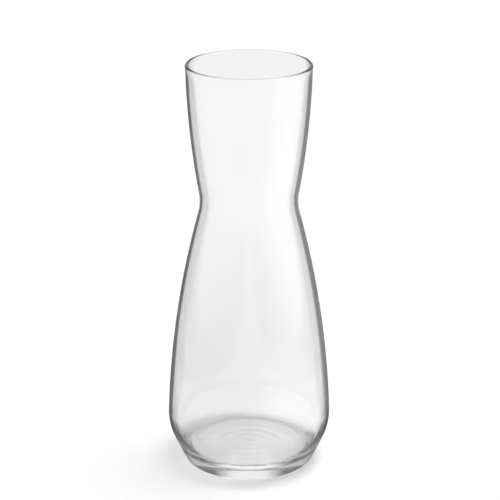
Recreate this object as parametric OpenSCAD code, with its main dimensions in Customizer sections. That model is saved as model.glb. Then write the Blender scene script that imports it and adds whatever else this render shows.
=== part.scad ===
// Open water carafe: one piece of clear moulded glass, standing on its foot.
// The outline is a chain of tangent arcs turned round the Z axis. The glass
// thickens from the lip down to the belly, and again into the base.
// Origin: centre of the foot on the table. +Z up. Millimetres.

/* [Overall] */
// Height from the table to the top of the lip
overall_height = 250; // [235:1:265]

/* [Neck] */
// Outside diameter across the rounded lip
rim_d = 75; // [70:0.5:84]
// Thickness of the wall just below the lip
lip_wall = 1.8; // [1.4:0.1:2.4]
// How far the rounded lip stands proud of the wall, inside and outside
lip_swell = 0.2; // [0.1:0.05:0.6]
// Radius of the hollow that blends the lip into the wall
lip_blend_r = 30; // [15:1:45]
// Radius of the slight outward bow of the neck
neck_bow_r = 520; // [400:5:700]

/* [Waist] */
// Outside diameter at the waist, the narrowest place
waist_d = 59; // [54:0.5:66]
// Height of the waist above the table
waist_height = 166.5; // [155:0.5:180]
// Thickness of the wall at the waist
waist_wall = 2.5; // [1.8:0.1:3.2]
// Radius of the hollow curve at the waist
waist_curve_r = 31.5; // [20:0.5:50]

/* [Body] */
// Outside diameter at the belly, the widest place
belly_d = 100; // [94:0.5:106]
// Thickness of the wall at the belly
belly_wall = 3.4; // [2.4:0.1:4.4]
// Radius of the round turn at the belly
belly_curve_r = 34; // [30:0.5:38]
// Radius of the long bow from the belly up to the waist
body_bow_r = 575; // [450:5:800]

/* [Base] */
// How far the edge of the foot stands in from the belly
foot_inset = 11.2; // [10:0.1:16]
// Width of the flat ring that the carafe stands on
bearing_width = 3; // [2:0.5:5]
// Depth of the shallow hollow inside the ring
punt_depth = 0.5; // [0.25:0.25:2]
// Radius of the round heel between the ring and the lower cone
heel_r = 1.5; // [1:0.5:5]
// Lean of the lower cone away from upright, in degrees
cone_angle = 25; // [22:0.5:28]
// Thickness of the glass at the middle of the base
base_thickness = 7; // [5:0.5:10]
// Largest radius of the round edge of the inside floor
floor_edge_r = 14; // [10:0.5:20]

/* [Hidden] */

// Most that a straight step may cut off a curve of the outline
curve_error = 0.01;
turns_fn = 180;

function angle_to(a, b) = atan2(b.y - a.y, b.x - a.x);

// The point far_a from a and far_b from b, to the left of the way from a to b
function meeting(a, far_a, b, far_b) =
    let (gap = norm(b - a))
    let (along = (far_a * far_a - far_b * far_b + gap * gap) / (2 * gap))
    let (aside = sqrt(far_a * far_a - along * along))
    let (ahead = (b - a) / gap)
    a + along * ahead + aside * [-ahead.y, ahead.x];

// Points along an arc, without its last one, because the next piece starts there
function arc(centre, r, from, to) =
    let (step = 2 * acos(1 - curve_error / r))
    let (steps = ceil(abs(to - from) / step))
    [for (i = [0 : steps - 1])
        let (a = from + (to - from) * i / steps)
        centre + r * [cos(a), sin(a)]];

// Centres of the outline's arcs, as [distance from the axis, height]
lip_r = lip_wall / 2 + lip_swell;
lip_centre = [rim_d / 2 - lip_r, overall_height - lip_r];
lip_side = [lip_wall / 2, 0];
waist_centre = [waist_d / 2 + waist_curve_r, waist_height];
inner_waist_r = waist_curve_r + waist_wall;
neck_centre = meeting(waist_centre, neck_bow_r + waist_curve_r, lip_centre + lip_side, neck_bow_r);
inner_neck_centre = meeting(waist_centre, neck_bow_r + inner_waist_r, lip_centre - lip_side, neck_bow_r);
outer_blend_centre = meeting(lip_centre, lip_r + lip_blend_r, neck_centre, neck_bow_r + lip_blend_r);
inner_blend_centre = meeting(lip_centre, lip_r + lip_blend_r, inner_neck_centre, neck_bow_r - lip_blend_r);
foot_r = belly_d / 2 - foot_inset;
heel_centre = [foot_r, heel_r];

// The belly arc touches the lower cone, which touches the heel
cone_normal = [cos(cone_angle), -sin(cone_angle)];
belly_x = belly_d / 2 - belly_curve_r;
belly_reach = cone_normal * heel_centre + heel_r - belly_curve_r;
belly_centre = [belly_x, (belly_reach - cone_normal.x * belly_x) / cone_normal.y];
inner_belly_r = belly_curve_r - belly_wall;
body_centre = meeting(belly_centre, body_bow_r - belly_curve_r, waist_centre, body_bow_r + waist_curve_r);
inner_body_centre = meeting(belly_centre, body_bow_r - inner_belly_r, waist_centre, body_bow_r + inner_waist_r);

// Angles at which one arc hands over to the next
belly_end = angle_to(body_centre, belly_centre);
body_end = angle_to(body_centre, waist_centre);
inner_belly_end = angle_to(inner_body_centre, belly_centre);
inner_body_end = angle_to(inner_body_centre, waist_centre);
neck_start = angle_to(neck_centre, waist_centre);
outer_neck_end = angle_to(neck_centre, outer_blend_centre);
inner_neck_start = angle_to(inner_neck_centre, waist_centre);
inner_neck_end = angle_to(inner_neck_centre, inner_blend_centre);
lip_start = angle_to(lip_centre, outer_blend_centre);
lip_end = angle_to(inner_blend_centre, lip_centre);

// The inside floor is flat out to its round edge, which touches the inside of
// the belly arc, at its middle height or below. It lies no lower than that arc reaches.
floor_height = max(punt_depth + base_thickness, belly_centre.y - inner_belly_r);
floor_r = min(floor_edge_r, belly_centre.y - floor_height);
floor_edge_gap = inner_belly_r - floor_r;
floor_edge_drop = belly_centre.y - floor_height - floor_r;
floor_edge_run = sqrt(floor_edge_gap * floor_edge_gap - floor_edge_drop * floor_edge_drop);
floor_edge_centre = [belly_centre.x + floor_edge_run, floor_height + floor_r];
floor_edge_end = angle_to(belly_centre, floor_edge_centre);

// The hollow underneath is a shallow dome that ends at the ring
punt_r = foot_r - bearing_width;
dome_r = (punt_r * punt_r + punt_depth * punt_depth) / (2 * punt_depth);
dome_centre = [0, punt_depth - dome_r];
dome_end = angle_to(dome_centre, [punt_r, 0]);

outside = concat(
    arc(heel_centre, heel_r, -90, -cone_angle),
    arc(belly_centre, belly_curve_r, -cone_angle, belly_end),
    arc(body_centre, body_bow_r, belly_end, body_end),
    arc(waist_centre, waist_curve_r, 180 + body_end, 180 + neck_start),
    arc(neck_centre, neck_bow_r, neck_start, outer_neck_end),
    arc(outer_blend_centre, lip_blend_r, 180 + outer_neck_end, 180 + lip_start)
);

lip = arc(lip_centre, lip_r, lip_start, 180 + lip_end);

inside = concat(
    arc(inner_blend_centre, lip_blend_r, lip_end, inner_neck_end),
    arc(inner_neck_centre, neck_bow_r, inner_neck_end, inner_neck_start),
    arc(waist_centre, inner_waist_r, 180 + inner_neck_start, 180 + inner_body_end),
    arc(inner_body_centre, body_bow_r, inner_body_end, inner_belly_end),
    arc(belly_centre, inner_belly_r, inner_belly_end, floor_edge_end),
    arc(floor_edge_centre, floor_r, floor_edge_end, -90),
    [[floor_edge_centre.x, floor_height], [0, floor_height]]
);

underneath = arc(dome_centre, dome_r, 90, dome_end);

module glass_vessel() {
    color("azure")
        rotate_extrude($fn = turns_fn)
            polygon(concat(underneath, [[punt_r, 0]], outside, lip, inside));
}

glass_vessel();
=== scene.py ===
"""An open water carafe of clear moulded glass, on a white table in a soft studio."""

import math

import bmesh
import bpy
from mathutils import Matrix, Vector


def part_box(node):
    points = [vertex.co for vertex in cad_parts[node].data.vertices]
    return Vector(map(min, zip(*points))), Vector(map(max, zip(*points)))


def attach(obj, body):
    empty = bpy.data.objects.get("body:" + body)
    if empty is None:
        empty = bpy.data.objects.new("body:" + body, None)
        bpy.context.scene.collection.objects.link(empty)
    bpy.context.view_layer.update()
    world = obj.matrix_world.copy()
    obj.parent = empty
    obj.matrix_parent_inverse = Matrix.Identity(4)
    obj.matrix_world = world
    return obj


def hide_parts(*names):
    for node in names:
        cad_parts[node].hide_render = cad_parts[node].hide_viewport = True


MM = 0.001

# Glass, as in the CAD source
LIP_WALL = 1.8 * MM
WAIST_WALL = 2.5 * MM
BELLY_WALL = 3.4 * MM
RIM_D = 75 * MM
LIP_SWELL = 0.2 * MM
LIP_BLEND_R = 30 * MM
NECK_BOW_R = 520 * MM
WAIST_D = 59 * MM
WAIST_HEIGHT = 166.5 * MM
WAIST_CURVE_R = 31.5 * MM
BELLY_CURVE_R = 34 * MM
BODY_BOW_R = 575 * MM
FOOT_INSET = 11.2 * MM
BEARING_WIDTH = 3 * MM
PUNT_DEPTH = 0.5 * MM
HEEL_R = 1.5 * MM
CONE_ANGLE = 25
BASE_THICKNESS = 7 * MM
FLOOR_EDGE_R = 14 * MM

# Most that a straight step may cut off a curve: in the base, belly and lip, and in the wall between
CURVE_ERROR = 0.0006 * MM
WALL_ERROR = 0.0024 * MM
# Widest step along the flat ring and the inside floor
FLAT_STEP = 2 * MM
# Steps round the axis
TURNS = 232

# Clear soda-lime glass: the tone of its surface, its refractive index, and the tint of its body, with how
# strongly a metre of it takes that tint
SURFACE_TONE = 0.93
GLASS_IOR = 1.5
BODY_TINT = (0.95, 0.965, 0.955, 1)
TINT_DENSITY = 6

# Camera: its distance from the axis, its height, its dip in degrees, and its focal length in pixels
CAMERA_DISTANCE = 1014 * MM
CAMERA_HEIGHT = 500.4 * MM
CAMERA_DIP = 19.83
FOCAL_PIXELS = 1783.7
PHOTO_SIZE = 500
AXIS_OFFSET_PIXELS = 1
SENSOR_WIDTH = 36
NEAREST_SEEN = 10 * MM
FARTHEST_SEEN = 100
# Most turns that light may take in the glass
GLASS_BOUNCES = 48
WHITE = (1, 1, 1, 1)

TABLE_SIZE = 12
TABLE_GAP = 0.05 * MM
TABLE_TONE = 0.9

# Below, four numbers are a ramp: its start and end, and what it gives there. Two are only its start and end.

# The faint mould rings in the base, as the texture counts them, and their height
RING_SCALE = 42
RING_DISTORTION = 2.5
RING_DETAIL = 1
RING_DETAIL_SCALE = 0.6
RING_HEIGHT = 0.07 * MM
# Where they fade, by distance from the axis and by height
RING_REACH = (20 * MM, 27 * MM, 1, 0)
RING_TOP = (9 * MM, 11 * MM, 1, 0)

# The sheet of light behind the carafe, painted light in the table's colour and light of the sky: half its
# width at the axis, how fast it widens on the table and in the sky, and its edge
PAINTED_SHEET_HALF = 48 * MM
PAINTED_SHEET_SPREAD = 0.15
SKY_SHEET_SPREAD = 0.3
SHEET_EDGE = (-1 * MM, 1 * MM, 0, 1)
# Where the grey beyond it ends, by the distance from the nearer axis over the distance along it
SHEET_SLANT = (0.6, 0.75, 1, 0)

# Painted light and shade in the table's colour, seen through the glass: how bright it is on the painted
# sheet, beyond it, through one wall alone, and on the right, where more light is painted
PAINTED_SHEET_LIGHT = 1.05
PAINTED_SHADE_BEYOND = 0.9
PAINTED_SHADE_ONE_WALL = 0.88
PAINTED_LIGHT_RIGHT = 1.12
# Where the painted light on the right starts, by the distance to the right over the distance from the axis
# and a little more
PAINTED_LIGHT_RIGHT_START = (-0.02, 0.2)
PAINTED_LIGHT_RIGHT_ROUNDING = 50 * MM
# Near the foot a painted shadow makes the table darker, by distance from the axis
PAINTED_SHADOW_NEAR_FOOT = (50 * MM, 500 * MM, 0.88, 1)

# What the outside of the glass mirrors: walls that darken ahead, and a lit card on the right that ends ahead.
# On the table these are a painted reflection that glows, in the sky they are light.
WALLS = (0, 0.8, 0.85, 0.2)
CARD_RIGHT = (0.3, 0.9, 0, 1)
CARD_AHEAD = (-0.1, 0.3, 0.4, 0)

# A painted reflection that the inside of the glass mirrors, glowing on the table: grey walls and a dark flag
# painted on either side. A flag starts at a line beside the axis. Its edges are given by the distance past
# that line over the distance ahead.
PAINTED_WALL_TONE = 0.85
LEFT_PAINTED_FLAG_TONE = 0.15
RIGHT_PAINTED_FLAG_TONE = 0.225
FLAG_LINE = 46 * MM
LEFT_FLAG_START = (0, 0.08, 0, 1)
LEFT_FLAG_END = (-0.06, 0.06, 1, 0)
RIGHT_FLAG_START = (0.1, 0.25, 0, 1)
RIGHT_FLAG_END = (0.5, 1.1, 1, 0)
# Where the painted left flag ends, by distance from the axis
LEFT_FLAG_STOP = (120 * MM, 300 * MM, 0.72, 0.56)
# Close to the foot the table's painted reflection is bright in front of the axis and behind it, and painted
# dark as shade at the sides
PAINTED_SHADE_CLOSE_ASIDE = (12 * MM, 28 * MM, 1.15, 0.2)
PAINTED_SHADE_CLOSE_END = (60 * MM, 130 * MM)

# The white tent brightens with height. The softbox has an azimuth and an elevation, half a width and a soft
# edge, all in degrees, and a brightness.
TENT = (0.05, 0.5, 0.3, 0.74)
SOFTBOX_AZIMUTH = 60
SOFTBOX_ELEVATION = 76
SOFTBOX_HALF = 9
SOFTBOX_EDGE = 9
SOFTBOX_GAIN = 8
# How bright it is past the table, where the camera sees it without the glass
BACKDROP_TONE = 1.05

# Flags in the sky stand between the backdrop and the walls, up to half way to overhead
SKY_FLAG_SIDE = (0.3, 0.6, 0, 1)
SKY_FLAG_AHEAD = (0.88, 0.98, 1, 0)
SKY_FLAG_TOP = (0.5, 0.8, 1, 0)
SKY_FLAG_BOTTOM = (0.05, 0.25, 0, 1)
SKY_FLAG_TONE = 0.12
SKY_WALLS = (0.96, 0.99, 0.68, 0.95)
# How bright the sky is, seen through the glass: on the sheet, and beyond it by height
SKY_SHEET_TONE = 0.6
SKY_BEYOND = (0.1, 0.4, 0.75, 0.1)

# Least distance that is divided by, from the axis and ahead
LEAST_FAR = 0.1 * MM
LEAST_AHEAD = 1 * MM
# Whole counts of turns are compared half way between two of them. One wall takes two, in and out.
NO_TURN = 0.5
ONE_WALL = 2.5


def point(centre, r, angle):
    a = math.radians(angle)
    return Vector((centre.x + r * math.cos(a), centre.y + r * math.sin(a)))


def angle_to(a, b):
    return math.degrees(math.atan2(b.y - a.y, b.x - a.x))


def meeting(a, far_a, b, far_b):
    """The point far_a from a and far_b from b, to the left of the way from a to b."""
    gap = (b - a).length
    along = (far_a**2 - far_b**2 + gap**2) / (2 * gap)
    aside = math.sqrt(far_a**2 - along**2)
    ahead = (b - a) / gap
    return a + along * ahead + aside * Vector((-ahead.y, ahead.x))


def arc(centre, r, start, end, error=CURVE_ERROR):
    """Points along an arc, without its last one, because the next piece starts there."""
    step = math.degrees(2 * math.acos(1 - error / r))
    steps = math.ceil(abs(end - start) / step)
    return [point(centre, r, start + (end - start) * i / steps) for i in range(steps)]


def run(start, end):
    """Points along a straight radial run, without its last one."""
    steps = math.ceil((end - start).length / FLAT_STEP)
    return [start.lerp(end, i / steps) for i in range(steps)]


def outline(height, belly_d):
    """The glass from the middle of its underside, up the outside, over the lip and down inside."""
    lip_r = LIP_WALL / 2 + LIP_SWELL
    lip = Vector((RIM_D / 2 - lip_r, height - lip_r))
    lip_side = Vector((LIP_WALL / 2, 0))
    waist = Vector((WAIST_D / 2 + WAIST_CURVE_R, WAIST_HEIGHT))
    inner_waist_r = WAIST_CURVE_R + WAIST_WALL
    neck = meeting(waist, NECK_BOW_R + WAIST_CURVE_R, lip + lip_side, NECK_BOW_R)
    inner_neck = meeting(waist, NECK_BOW_R + inner_waist_r, lip - lip_side, NECK_BOW_R)
    outer_blend = meeting(lip, lip_r + LIP_BLEND_R, neck, NECK_BOW_R + LIP_BLEND_R)
    inner_blend = meeting(lip, lip_r + LIP_BLEND_R, inner_neck, NECK_BOW_R - LIP_BLEND_R)

    # The belly arc touches the lower cone, which touches the heel
    foot_r = belly_d / 2 - FOOT_INSET
    heel = Vector((foot_r, HEEL_R))
    lean = math.radians(CONE_ANGLE)
    normal = Vector((math.cos(lean), -math.sin(lean)))
    belly_x = belly_d / 2 - BELLY_CURVE_R
    reach = normal.dot(heel) + HEEL_R - BELLY_CURVE_R
    belly = Vector((belly_x, (reach - normal.x * belly_x) / normal.y))
    body = meeting(belly, BODY_BOW_R - BELLY_CURVE_R, waist, BODY_BOW_R + WAIST_CURVE_R)

    # The glass thickens from the waist down to the belly
    inner_belly_r = BELLY_CURVE_R - BELLY_WALL
    inner_body = meeting(belly, BODY_BOW_R - inner_belly_r, waist, BODY_BOW_R + inner_waist_r)

    belly_end = angle_to(body, belly)
    body_end = angle_to(body, waist)
    inner_belly_end = angle_to(inner_body, belly)
    inner_body_end = angle_to(inner_body, waist)
    neck_start = angle_to(neck, waist)
    outer_neck_end = angle_to(neck, outer_blend)
    inner_neck_start = angle_to(inner_neck, waist)
    inner_neck_end = angle_to(inner_neck, inner_blend)
    lip_start = angle_to(lip, outer_blend)
    lip_end = angle_to(inner_blend, lip)

    # The inside floor is flat out to its round edge, which touches the inside of the belly arc
    floor = PUNT_DEPTH + BASE_THICKNESS
    floor_r = min(FLOOR_EDGE_R, belly.y - floor)
    edge_gap = inner_belly_r - floor_r
    edge_drop = belly.y - floor - floor_r
    floor_edge = Vector((belly.x + math.sqrt(edge_gap**2 - edge_drop**2), floor + floor_r))
    floor_edge_end = angle_to(belly, floor_edge)

    # The hollow underneath is a shallow dome that ends at the ring
    punt_r = foot_r - BEARING_WIDTH
    dome_r = (punt_r**2 + PUNT_DEPTH**2) / (2 * PUNT_DEPTH)
    dome = Vector((0, PUNT_DEPTH - dome_r))
    dome_end = angle_to(dome, Vector((punt_r, 0)))

    return [
        *arc(dome, dome_r, 90, dome_end),
        *run(Vector((punt_r, 0)), Vector((foot_r, 0))),
        *arc(heel, HEEL_R, -90, -CONE_ANGLE),
        *arc(belly, BELLY_CURVE_R, -CONE_ANGLE, belly_end),
        *arc(body, BODY_BOW_R, belly_end, body_end, WALL_ERROR),
        *arc(waist, WAIST_CURVE_R, 180 + body_end, 180 + neck_start, WALL_ERROR),
        *arc(neck, NECK_BOW_R, neck_start, outer_neck_end, WALL_ERROR),
        *arc(outer_blend, LIP_BLEND_R, 180 + outer_neck_end, 180 + lip_start, WALL_ERROR),
        *arc(lip, lip_r, lip_start, 180 + lip_end),
        *arc(inner_blend, LIP_BLEND_R, lip_end, inner_neck_end, WALL_ERROR),
        *arc(inner_neck, NECK_BOW_R, inner_neck_end, inner_neck_start, WALL_ERROR),
        *arc(waist, inner_waist_r, 180 + inner_neck_start, 180 + inner_body_end, WALL_ERROR),
        *arc(inner_body, BODY_BOW_R, inner_body_end, inner_belly_end, WALL_ERROR),
        *arc(belly, inner_belly_r, inner_belly_end, floor_edge_end),
        *arc(floor_edge, floor_r, floor_edge_end, -90),
        *run(Vector((floor_edge.x, floor)), Vector((0, floor))),
        Vector((0, floor)),
    ]


def lathe(name, points):
    """A closed smooth solid turned round Z. The first and last points lie on the axis."""
    bm = bmesh.new()
    bottom = bm.verts.new((0, 0, points[0].y))
    top = bm.verts.new((0, 0, points[-1].y))
    turns = [2 * math.pi * i / TURNS for i in range(TURNS)]
    rings = []
    for p in points[1:-1]:
        rings.append([bm.verts.new((p.x * math.cos(t), p.x * math.sin(t), p.y)) for t in turns])
    for i in range(TURNS):
        j = (i + 1) % TURNS
        bm.faces.new((bottom, rings[0][j], rings[0][i]))
        bm.faces.new((top, rings[-1][i], rings[-1][j]))
        for low, high in zip(rings, rings[1:]):
            bm.faces.new((low[i], low[j], high[j], high[i]))
    for face in bm.faces:
        face.smooth = True
    mesh = bpy.data.meshes.new(name)
    bm.to_mesh(mesh)
    bm.free()
    piece = bpy.data.objects.new(name, mesh)
    bpy.context.scene.collection.objects.link(piece)
    return piece


class Nodes:
    """A short way to write a node tree."""

    def __init__(self, tree):
        self.tree = tree
        tree.nodes.clear()

    def add(self, kind, **settings):
        node = self.tree.nodes.new(kind)
        for name, value in settings.items():
            setattr(node, name, value)
        return node

    def put(self, value, socket):
        if isinstance(value, bpy.types.NodeSocket):
            self.tree.links.new(value, socket)
        else:
            socket.default_value = value

    def math(self, operation, a, b=0.0):
        node = self.add("ShaderNodeMath", operation=operation)
        self.put(a, node.inputs[0])
        self.put(b, node.inputs[1])
        return node.outputs[0]

    def product(self, first, *others):
        for other in others:
            first = self.math("MULTIPLY", first, other)
        return first

    def length(self, x, y):
        return self.math("SQRT", self.math("ADD", self.product(x, x), self.product(y, y)))

    def parts(self, vector):
        node = self.add("ShaderNodeSeparateXYZ")
        self.put(vector, node.inputs[0])
        return node.outputs

    def ramp(self, value, low, high, to_low=0.0, to_high=1.0):
        """to_low up to low, to_high from high on, smooth between."""
        node = self.add("ShaderNodeMapRange", interpolation_type="SMOOTHSTEP")
        for socket, number in zip(node.inputs, (value, low, high, to_low, to_high)):
            self.put(number, socket)
        return node.outputs[0]

    def mix(self, share, a, b):
        """a where the share is 0, and b where it is 1."""
        node = self.add("ShaderNodeMix", data_type="FLOAT")
        self.put(share, node.inputs[0])
        self.put(a, node.inputs[2])
        self.put(b, node.inputs[3])
        return node.outputs[0]


def floor_rings(nodes):
    """Faint rings that the mould leaves in the middle of the base."""
    position = nodes.add("ShaderNodeNewGeometry").outputs["Position"]
    x, y, z = nodes.parts(position)
    wave = nodes.add("ShaderNodeTexWave", wave_type="RINGS", rings_direction="Z", wave_profile="SIN")
    nodes.put(position, wave.inputs["Vector"])
    nodes.put(RING_SCALE, wave.inputs["Scale"])
    nodes.put(RING_DISTORTION, wave.inputs["Distortion"])
    nodes.put(RING_DETAIL, wave.inputs["Detail"])
    nodes.put(RING_DETAIL_SCALE, wave.inputs["Detail Scale"])
    on_base = nodes.product(nodes.ramp(nodes.length(x, y), *RING_REACH), nodes.ramp(z, *RING_TOP))
    bump = nodes.add("ShaderNodeBump")
    nodes.put(1, bump.inputs["Strength"])
    nodes.put(RING_HEIGHT, bump.inputs["Distance"])
    nodes.put(nodes.product(wave.outputs["Fac"], on_base), bump.inputs["Height"])
    return bump.outputs[0]


def clear_glass():
    """Clear soda-lime glass, with faint mould rings in its base."""
    material = bpy.data.materials.new("clear_glass")
    material.use_nodes = True
    nodes = Nodes(material.node_tree)
    shader = nodes.add("ShaderNodeBsdfPrincipled")
    nodes.put((SURFACE_TONE, SURFACE_TONE, SURFACE_TONE, 1), shader.inputs["Base Color"])
    nodes.put(0, shader.inputs["Roughness"])
    nodes.put(GLASS_IOR, shader.inputs["IOR"])
    nodes.put(1, shader.inputs["Transmission Weight"])
    nodes.put(floor_rings(nodes), shader.inputs["Normal"])
    absorption = nodes.add("ShaderNodeVolumeAbsorption")
    nodes.put(BODY_TINT, absorption.inputs["Color"])
    nodes.put(TINT_DENSITY, absorption.inputs["Density"])
    output = nodes.add("ShaderNodeOutputMaterial")
    nodes.put(shader.outputs[0], output.inputs["Surface"])
    nodes.put(absorption.outputs[0], output.inputs["Volume"])
    return material


def make_carafe():
    low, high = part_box("glass_vessel")
    carafe = lathe("carafe_glass", outline(high.z - low.z, high.x - low.x))
    carafe.data.materials.append(clear_glass())
    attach(carafe, "root")
    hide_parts("glass_vessel")


def path_kinds(nodes):
    """For each kind of ray, 1 if this ray is of that kind: from the camera, or by way of the glass."""
    path = nodes.add("ShaderNodeLightPath").outputs
    off_glass = nodes.math("MAXIMUM", path["Is Glossy Ray"], path["Is Transmission Ray"])
    glass = nodes.product(off_glass, nodes.math("LESS_THAN", path["Diffuse Depth"], NO_TURN))
    reflected = nodes.product(glass, nodes.math("GREATER_THAN", path["Glossy Depth"], NO_TURN))
    through = nodes.math("SUBTRACT", glass, reflected)
    return {
        "camera": path["Is Camera Ray"],
        "through": through,
        "one_wall": nodes.product(through, nodes.math("LESS_THAN", path["Transmission Depth"], ONE_WALL)),
        "reflected": reflected,
        "outside": nodes.product(reflected, nodes.math("LESS_THAN", path["Transmission Depth"], NO_TURN)),
    }


def bearing(nodes, x, y):
    """How far a place or direction lies ahead, towards +Y, and to the right, as a cosine and a sine."""
    far = nodes.math("MAXIMUM", nodes.length(x, y), LEAST_FAR)
    return nodes.math("DIVIDE", y, far), nodes.math("DIVIDE", x, far)


def front_cards(nodes, ahead, right):
    """What the outside of the glass mirrors: walls that darken ahead, and a lit card on the right. In the sky
    they are light, on the table a painted reflection that glows.
    """
    card = nodes.product(nodes.ramp(right, *CARD_RIGHT), nodes.ramp(ahead, *CARD_AHEAD))
    return nodes.math("ADD", nodes.ramp(ahead, *WALLS), card)


def painted_inner_reflection(nodes, x, y, far):
    """A painted reflection for the inside of the glass to mirror, glowing on the table: grey walls, with a
    dark flag painted on either side behind the carafe.
    """
    front = nodes.math("MAXIMUM", y, LEAST_AHEAD)
    left = nodes.math("DIVIDE", nodes.math("SUBTRACT", nodes.product(x, -1), FLAG_LINE), front)
    right = nodes.math("DIVIDE", nodes.math("SUBTRACT", x, FLAG_LINE), front)
    past_stop = nodes.math("SUBTRACT", left, nodes.ramp(far, *LEFT_FLAG_STOP))
    left_painted_flag = nodes.product(nodes.ramp(left, *LEFT_FLAG_START), nodes.ramp(past_stop, *LEFT_FLAG_END))
    right_painted_flag = nodes.product(nodes.ramp(right, *RIGHT_FLAG_START), nodes.ramp(right, *RIGHT_FLAG_END))
    light = nodes.mix(left_painted_flag, PAINTED_WALL_TONE, LEFT_PAINTED_FLAG_TONE)
    return nodes.mix(right_painted_flag, light, RIGHT_PAINTED_FLAG_TONE)


def off_sheet(nodes, x, y, half, spread):
    """0 on the sheet of light along either axis, 1 beyond its edge, and 0 again towards the diagonal. The
    sheet is painted light on the table and light in the sky.
    """
    across = nodes.math("ABSOLUTE", x)
    along = nodes.math("ABSOLUTE", y)
    near = nodes.math("MINIMUM", across, along)
    out = nodes.math("MAXIMUM", nodes.math("MAXIMUM", across, along), LEAST_FAR)
    edge = nodes.math("ADD", half, nodes.product(out, spread))
    past = nodes.ramp(nodes.math("SUBTRACT", near, edge), *SHEET_EDGE)
    return nodes.product(past, nodes.ramp(nodes.math("DIVIDE", near, out), *SHEET_SLANT))


def white_table_painted_light():
    """White, with painted light and shade where the glass sees it: seen through the glass it is painted a
    little brighter on the right, greyer beyond the painted sheet of light, and darker near the foot.

    Mirrored in the glass it glows with a painted reflection of walls, a lit card and dark flags, painted
    darker near the foot at the sides.
    """
    material = bpy.data.materials.new("white_table_painted_light")
    material.use_nodes = True
    nodes = Nodes(material.node_tree)
    x, y, _ = nodes.parts(nodes.add("ShaderNodeNewGeometry").outputs["Position"])
    rays = path_kinds(nodes)
    ahead, right = bearing(nodes, x, y)
    far = nodes.length(x, y)

    # Seen through the glass, the table's colour holds a painted sheet of light, greyer beyond it
    beyond = off_sheet(nodes, x, y, PAINTED_SHEET_HALF, PAINTED_SHEET_SPREAD)
    aside = nodes.math("DIVIDE", x, nodes.math("ADD", far, PAINTED_LIGHT_RIGHT_ROUNDING))
    # Painted light and shade, seen through the glass: brighter on the sheet and on the right, darker beyond
    # it and through one wall, and a painted shadow near the foot
    seen = nodes.product(
        nodes.ramp(aside, *PAINTED_LIGHT_RIGHT_START, 1, nodes.mix(rays["one_wall"], PAINTED_LIGHT_RIGHT, 1)),
        nodes.mix(beyond, PAINTED_SHEET_LIGHT, PAINTED_SHADE_BEYOND),
        nodes.mix(rays["one_wall"], 1, PAINTED_SHADE_ONE_WALL),
        nodes.ramp(far, *PAINTED_SHADOW_NEAR_FOOT),
    )
    tone = nodes.product(TABLE_TONE, nodes.mix(rays["through"], 1, seen))
    colour = nodes.add("ShaderNodeCombineColor")
    for socket in colour.inputs:
        nodes.put(tone, socket)
    white = nodes.add("ShaderNodeBsdfDiffuse")
    nodes.put(colour.outputs[0], white.inputs["Color"])

    # Mirrored in the glass, the table shows only a glowing painted reflection of walls, a lit card and dark
    # flags
    cards = nodes.mix(rays["outside"], painted_inner_reflection(nodes, x, y, far), front_cards(nodes, ahead, right))
    # Painted shade: near the foot the glowing reflection is darkened at the sides
    painted_shade_aside = nodes.ramp(nodes.math("ABSOLUTE", x), *PAINTED_SHADE_CLOSE_ASIDE)
    mirrored = nodes.add("ShaderNodeEmission")
    nodes.put(nodes.product(cards, nodes.ramp(far, *PAINTED_SHADE_CLOSE_END, painted_shade_aside, 1)), mirrored.inputs["Strength"])

    mixed = nodes.add("ShaderNodeMixShader")
    nodes.put(rays["reflected"], mixed.inputs[0])
    nodes.put(white.outputs[0], mixed.inputs[1])
    nodes.put(mirrored.outputs[0], mixed.inputs[2])
    output = nodes.add("ShaderNodeOutputMaterial")
    nodes.put(mixed.outputs[0], output.inputs["Surface"])
    return material


def make_table():
    bpy.ops.mesh.primitive_plane_add(size=TABLE_SIZE, location=(0, 0, -TABLE_GAP))
    table = bpy.context.object
    table.name = "table"
    table.data.materials.append(white_table_painted_light())


def softbox(nodes, direction):
    """1 inside the round softbox in the sky, 0 outside it."""
    a = math.radians(SOFTBOX_AZIMUTH)
    e = math.radians(SOFTBOX_ELEVATION)
    dot = nodes.add("ShaderNodeVectorMath", operation="DOT_PRODUCT")
    nodes.put(direction, dot.inputs[0])
    nodes.put((math.sin(a) * math.cos(e), math.cos(a) * math.cos(e), math.sin(e)), dot.inputs[1])
    outer = math.cos(math.radians(SOFTBOX_HALF + SOFTBOX_EDGE))
    inner = math.cos(math.radians(SOFTBOX_HALF))
    return nodes.ramp(dot.outputs["Value"], outer, inner)


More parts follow.
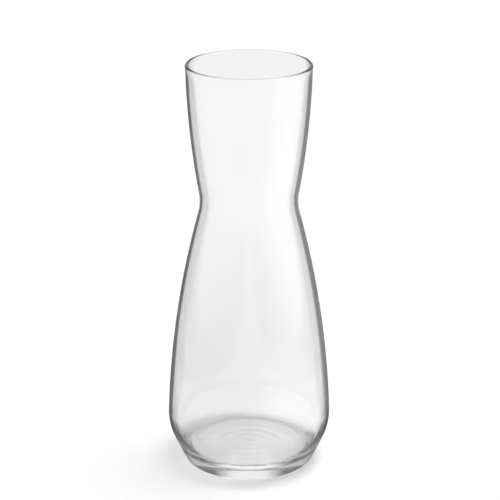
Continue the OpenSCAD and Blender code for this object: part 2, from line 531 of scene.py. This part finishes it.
def make_studio():
    """The light: an even white tent with a softbox overhead, and cards that only the glass sees."""
    world = bpy.data.worlds.new("studio")
    bpy.context.scene.world = world
    world.use_nodes = True
    nodes = Nodes(world.node_tree)
    direction = nodes.add("ShaderNodeTexCoord").outputs["Generated"]
    x, y, z = nodes.parts(direction)
    rays = path_kinds(nodes)
    ahead, right = bearing(nodes, x, y)

    tent = nodes.math("ADD", nodes.ramp(z, *TENT), nodes.product(softbox(nodes, direction), SOFTBOX_GAIN))
    flag = nodes.product(
        nodes.ramp(ahead, *SKY_FLAG_SIDE),
        nodes.ramp(ahead, *SKY_FLAG_AHEAD),
        nodes.ramp(z, *SKY_FLAG_TOP),
        nodes.ramp(z, *SKY_FLAG_BOTTOM),
    )
    inner = nodes.mix(flag, nodes.ramp(ahead, *SKY_WALLS), SKY_FLAG_TONE)
    mirrored = nodes.mix(rays["outside"], inner, front_cards(nodes, ahead, right))
    beyond = off_sheet(nodes, x, y, 0, SKY_SHEET_SPREAD)
    seen = nodes.mix(beyond, SKY_SHEET_TONE, nodes.ramp(z, *SKY_BEYOND))
    light = nodes.mix(rays["reflected"], tent, mirrored)
    light = nodes.mix(rays["through"], light, seen)
    light = nodes.mix(rays["camera"], light, BACKDROP_TONE)
    background = nodes.add("ShaderNodeBackground")
    nodes.put(WHITE, background.inputs["Color"])
    nodes.put(light, background.inputs["Strength"])
    output = nodes.add("ShaderNodeOutputWorld")
    nodes.put(background.outputs[0], output.inputs["Surface"])


def make_camera():
    data = bpy.data.cameras.new("camera")
    data.sensor_width = SENSOR_WIDTH
    data.lens = FOCAL_PIXELS * SENSOR_WIDTH / PHOTO_SIZE
    data.shift_x = AXIS_OFFSET_PIXELS / PHOTO_SIZE
    data.clip_start = NEAREST_SEEN
    data.clip_end = FARTHEST_SEEN
    camera = bpy.data.objects.new("camera", data)
    camera.location = (0, -CAMERA_DISTANCE, CAMERA_HEIGHT)
    camera.rotation_euler = (math.radians(90 - CAMERA_DIP), 0, 0)
    bpy.context.scene.collection.objects.link(camera)
    bpy.context.scene.camera = camera


def set_view():
    scene = bpy.context.scene
    scene.view_settings.view_transform = "Standard"
    scene.cycles.max_bounces = GLASS_BOUNCES
    scene.cycles.glossy_bounces = GLASS_BOUNCES
    scene.cycles.transmission_bounces = GLASS_BOUNCES
    scene.cycles.blur_glossy = 0
    scene.cycles.sample_clamp_indirect = 0


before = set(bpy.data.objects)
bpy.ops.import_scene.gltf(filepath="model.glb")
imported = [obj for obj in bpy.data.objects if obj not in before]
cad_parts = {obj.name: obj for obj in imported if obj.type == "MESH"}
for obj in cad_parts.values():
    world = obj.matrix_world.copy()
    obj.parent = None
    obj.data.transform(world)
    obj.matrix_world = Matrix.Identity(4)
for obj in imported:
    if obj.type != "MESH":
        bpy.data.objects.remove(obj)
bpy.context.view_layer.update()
make_camera()
make_carafe()
make_table()
make_studio()
set_view()
